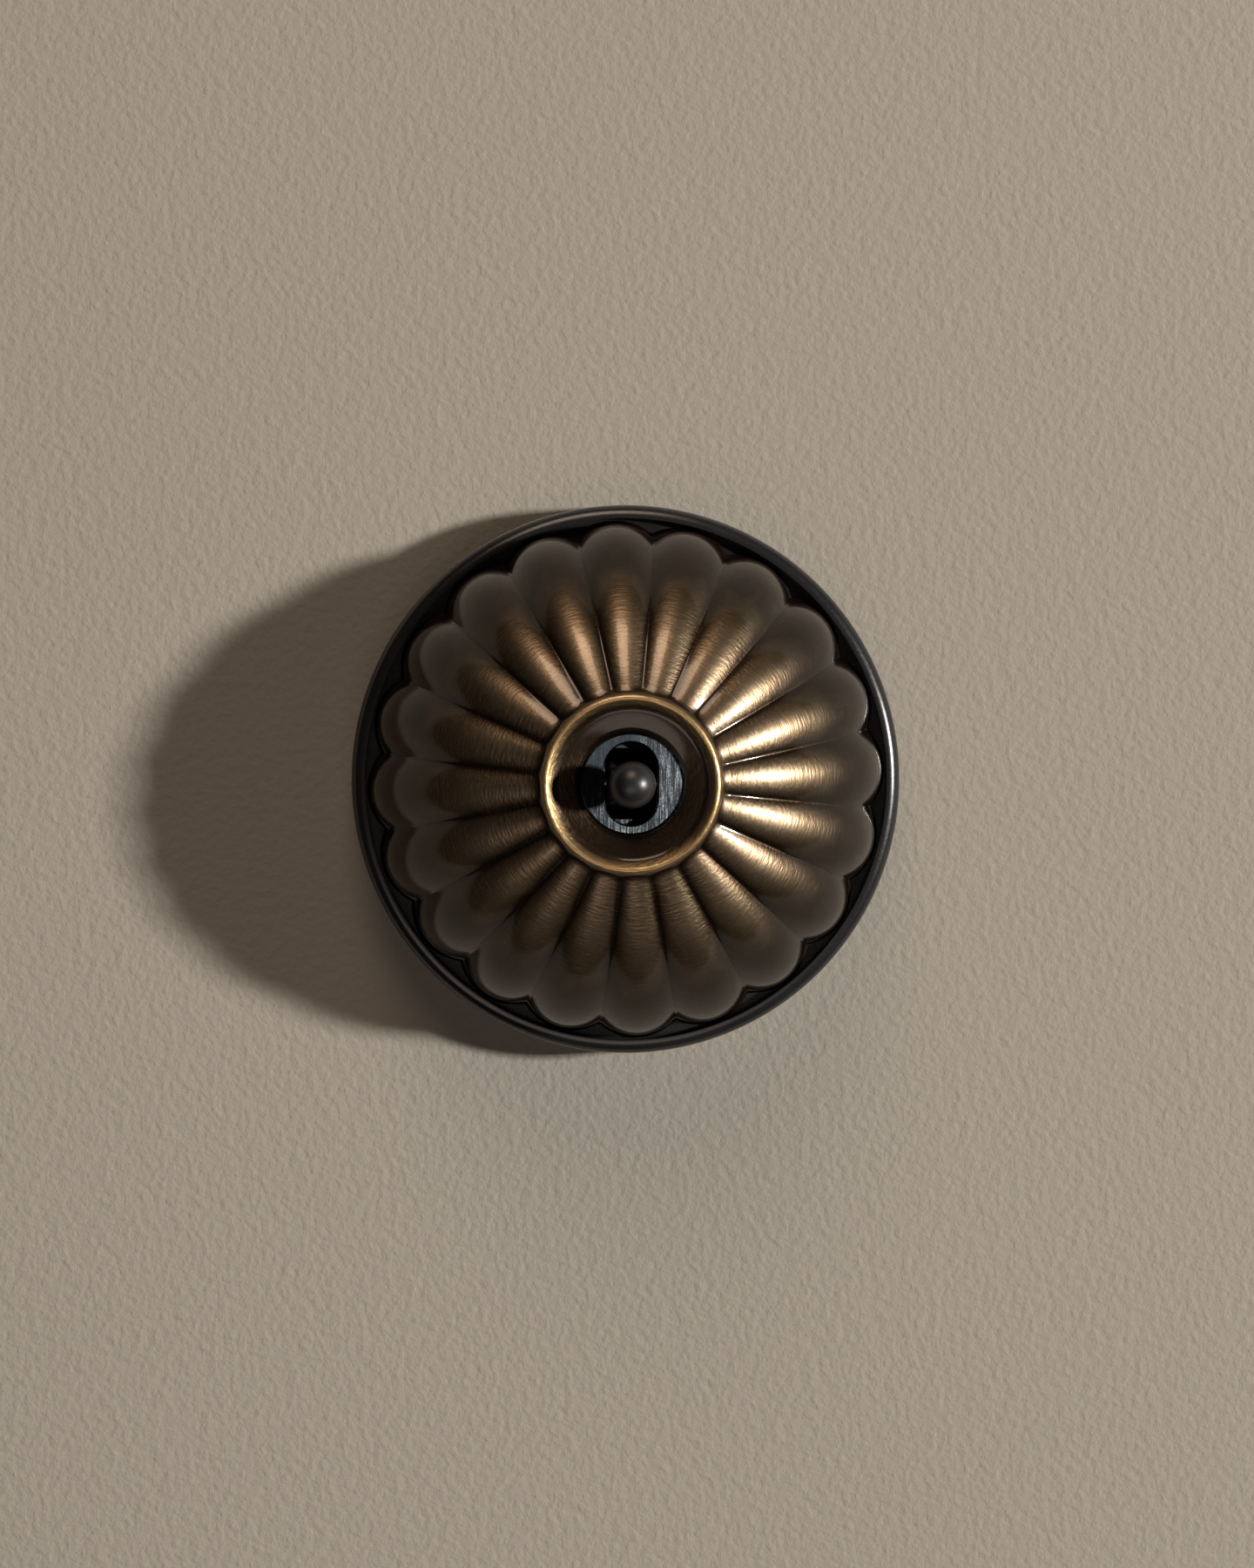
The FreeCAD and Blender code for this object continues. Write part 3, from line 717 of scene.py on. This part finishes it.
def make_base():
    """Base with its well and rim in front, the recess and bosses behind, and all its holes."""
    rim = arc_points((BASE_RADIUS - RIM_ROUND, BASE_HEIGHT - RIM_ROUND), RIM_ROUND, math.pi / 2, 0, RIM_STEPS)
    profile = [(CENTRE_RADIUS, FLOOR_LEVEL), (WELL_RADIUS, FLOOR_LEVEL), (WELL_RADIUS, BASE_HEIGHT)] + rim
    profile += [(BASE_RADIUS, BACK_BEVEL), (BASE_RADIUS - BACK_BEVEL, 0), (RECESS_RADIUS, 0),
                (RECESS_RADIUS, RECESS_DEPTH), (CENTRE_RADIUS, RECESS_DEPTH)]
    points, faces = lathe(profile, BASE_STEPS, polar_point)
    base = make_piece("base_moulding", points, faces, "housing", "black_moulding", ["base"])
    sides = (WALL_HOLE_PLACE, -WALL_HOLE_PLACE)
    combine(base, [round_bar(x, 0, BOSS_RADIUS, 0, RECESS_DEPTH + CUT_MARGIN) for x in sides], "UNION")
    holes = [(x, 0, WALL_HOLE_RADIUS) for x in sides] + [CABLE_HOLE, *BRIDGE_SCREW_HOLES, *FIXING_HOLES]
    cutters = [round_bar(x, z, radius, -CUT_MARGIN, FLOOR_LEVEL + CUT_MARGIN) for x, z, radius in holes]
    combine(base, cutters, "DIFFERENCE")
    smooth_faces(base.data)


# Dolly

def barrel_place(radius, angle, distance):
    """Point about the pivot's axis, which runs to the right."""
    return Vector((distance, -PIVOT_LEVEL + radius * math.sin(angle), radius * math.cos(angle))) * MM


def make_dolly():
    """Stem with its bore, neck and ball, and the barrel across it: two closed skins in one piece."""
    meet = math.asin(NECK_RADIUS / BALL_RADIUS)
    stem = [
        (AXIS_RADIUS, BORE_END),
        (BORE_RADIUS, BORE_END),
        (BORE_RADIUS, FOOT_LEVEL),
        (FOOT_RADIUS, FOOT_LEVEL),
        (FOOT_RADIUS, PIVOT_LEVEL - BARREL_RADIUS + FOOT_OVERLAP),
        (NECK_ROOT_RADIUS, PIVOT_LEVEL),
        (NECK_RADIUS + NECK_FLARE, BALL_LEVEL - BALL_RADIUS - NECK_FLARE_DROP),
        (NECK_RADIUS + NECK_SWELL, BALL_LEVEL - BALL_RADIUS * math.cos(meet) - NECK_SWELL_DROP),
    ]
    ball = arc_points((0, BALL_LEVEL), BALL_RADIUS, meet - math.pi / 2, math.pi / 2, BALL_STEPS)
    stem += [(max(radius, AXIS_RADIUS), level) for radius, level in ball]
    points, faces = lathe(stem, STEM_STEPS, polar_point)
    end = BARREL_HALF - BARREL_ROUND
    side = arc_points((end, BARREL_RADIUS - BARREL_ROUND), BARREL_ROUND, 0, math.pi / 2, BARREL_ROUND_STEPS)
    profile = [(level, radius) for radius, level in side]
    barrel = [(radius, -distance) for radius, distance in profile] + profile[::-1]
    more_points, more_faces = lathe(barrel, BARREL_STEPS, barrel_place)
    faces += [tuple(len(points) + index for index in face) for face in more_faces]
    make_piece("dolly_lever", points + more_points, faces, "lever", "black_dolly", ["dolly"])


# Plunger spring

def make_spring():
    """Coil of round wire with closed ends."""
    steps = SPRING_TURNS * SPRING_TURN_STEPS
    sides = SPRING_SIDES
    lead = (SPRING_HIGH - SPRING_LOW - 2 * SPRING_WIRE) / (2 * math.pi * SPRING_TURNS)
    points = []
    for step in range(steps + 1):
        angle = 2 * math.pi * SPRING_TURNS * step / steps
        for side in range(sides):
            round_angle = 2 * math.pi * side / sides
            radius = SPRING_RADIUS + SPRING_WIRE * math.cos(round_angle)
            level = SPRING_LOW + SPRING_WIRE + lead * angle + SPRING_WIRE * math.sin(round_angle)
            points.append(polar_point(radius, angle, level))
    faces = loft_faces(steps + 1, sides, closed=False)
    faces.append(tuple(range(sides)))
    faces.append(tuple(steps * sides + side for side in reversed(range(sides))))
    spring = make_piece("plunger_coil", points, faces, "lever", "steel", ["plunger_spring"])
    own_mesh(spring)


# Nodes that keep their CAD shape

def dress_nodes():
    """Better materials in the slots of the nodes that came over from the pack."""
    for part in frame["record"]["subparts"]:
        node = frame["nodes"][part["node"]]
        node.data.materials.clear()
        node.data.materials.append(materials[part["material_slot"]])


# Stage, light and camera

def make_wall():
    """Wall behind the switch, in place of a floor."""
    mesh = bpy.data.meshes.new("wall")
    half = WALL_SIZE / 2
    corners = ((-half, -half), (half, -half), (half, half), (-half, half))
    mesh.from_pydata([(x, WALL_GAP, z) for x, z in corners], [], [(0, 1, 2, 3)])
    mesh.materials.append(wall_paint())
    wall = bpy.data.objects.new("wall", mesh)
    wall.visible_shadow = False
    bpy.context.scene.collection.objects.link(wall)
    wall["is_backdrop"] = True


def from_front(right, up):
    """Direction from the switch out to the front, turned to the right and up by angles in degrees."""
    right, up = math.radians(right), math.radians(up)
    return Vector((math.sin(right) * math.cos(up), -math.cos(right) * math.cos(up), math.sin(up)))


def make_light(name, direction, distance, size, power, tint):
    lamp = bpy.data.lights.new(name, "AREA")
    lamp.shape = "RECTANGLE"
    lamp.size, lamp.size_y = size
    lamp.energy = power
    lamp.color = tint
    light = bpy.data.objects.new(name, lamp)
    light.location = direction * distance
    light.rotation_mode = "QUATERNION"
    light.rotation_quaternion = (-direction).to_track_quat("-Z", "Y")
    bpy.context.scene.collection.objects.link(light)


def make_lights():
    key = from_front(90 - KEY_OFF_WALL, KEY_ABOVE)
    make_light("key", key, KEY_DISTANCE, KEY_SIZE, KEY_POWER, KEY_TINT)
    fill = from_front(FILL_FROM_RIGHT, FILL_ABOVE)
    make_light("fill", fill, FILL_DISTANCE, FILL_SIZE, FILL_POWER, FILL_TINT)
    front = from_front(FRONT_FROM_RIGHT, FRONT_ABOVE)
    make_light("front", front, FRONT_DISTANCE, FRONT_SIZE, FRONT_POWER, FRONT_TINT)
    make_light("fill_behind", BACK_DIRECTION, BACK_DISTANCE, BACK_SIZE, BACK_POWER, BACK_TINT)
    world = bpy.data.worlds.new("studio")
    world.use_nodes = True
    shade = world.node_tree.nodes["Background"]
    shade.inputs["Color"].default_value = colour(*WORLD_TINT)
    shade.inputs["Strength"].default_value = WORLD_STRENGTH
    bpy.context.scene.world = world


def make_camera():
    lens = bpy.data.cameras.new("camera")
    lens.sensor_width = SENSOR
    lens.lens = SENSOR * CAMERA_DISTANCE / FRAME_HEIGHT
    camera = bpy.data.objects.new("camera", lens)
    direction = from_front(-CAMERA_FROM_LEFT, CAMERA_FROM_ABOVE)
    camera.location = AIM + direction * CAMERA_DISTANCE
    camera.rotation_mode = "QUATERNION"
    camera.rotation_quaternion = (-direction).to_track_quat("-Z", "Y")
    bpy.context.scene.collection.objects.link(camera)
    bpy.context.scene.camera = camera


bpy.context.scene.view_settings.view_transform = "Standard"
materials = make_materials()
dress_nodes()
make_base()
make_cover()
make_dolly()
make_spring()
make_wall()
make_lights()
make_camera()

boxes = {"cad": cad_box, "visual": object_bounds()}
{name: [list(corner) for corner in box] for name, box in boxes.items()}
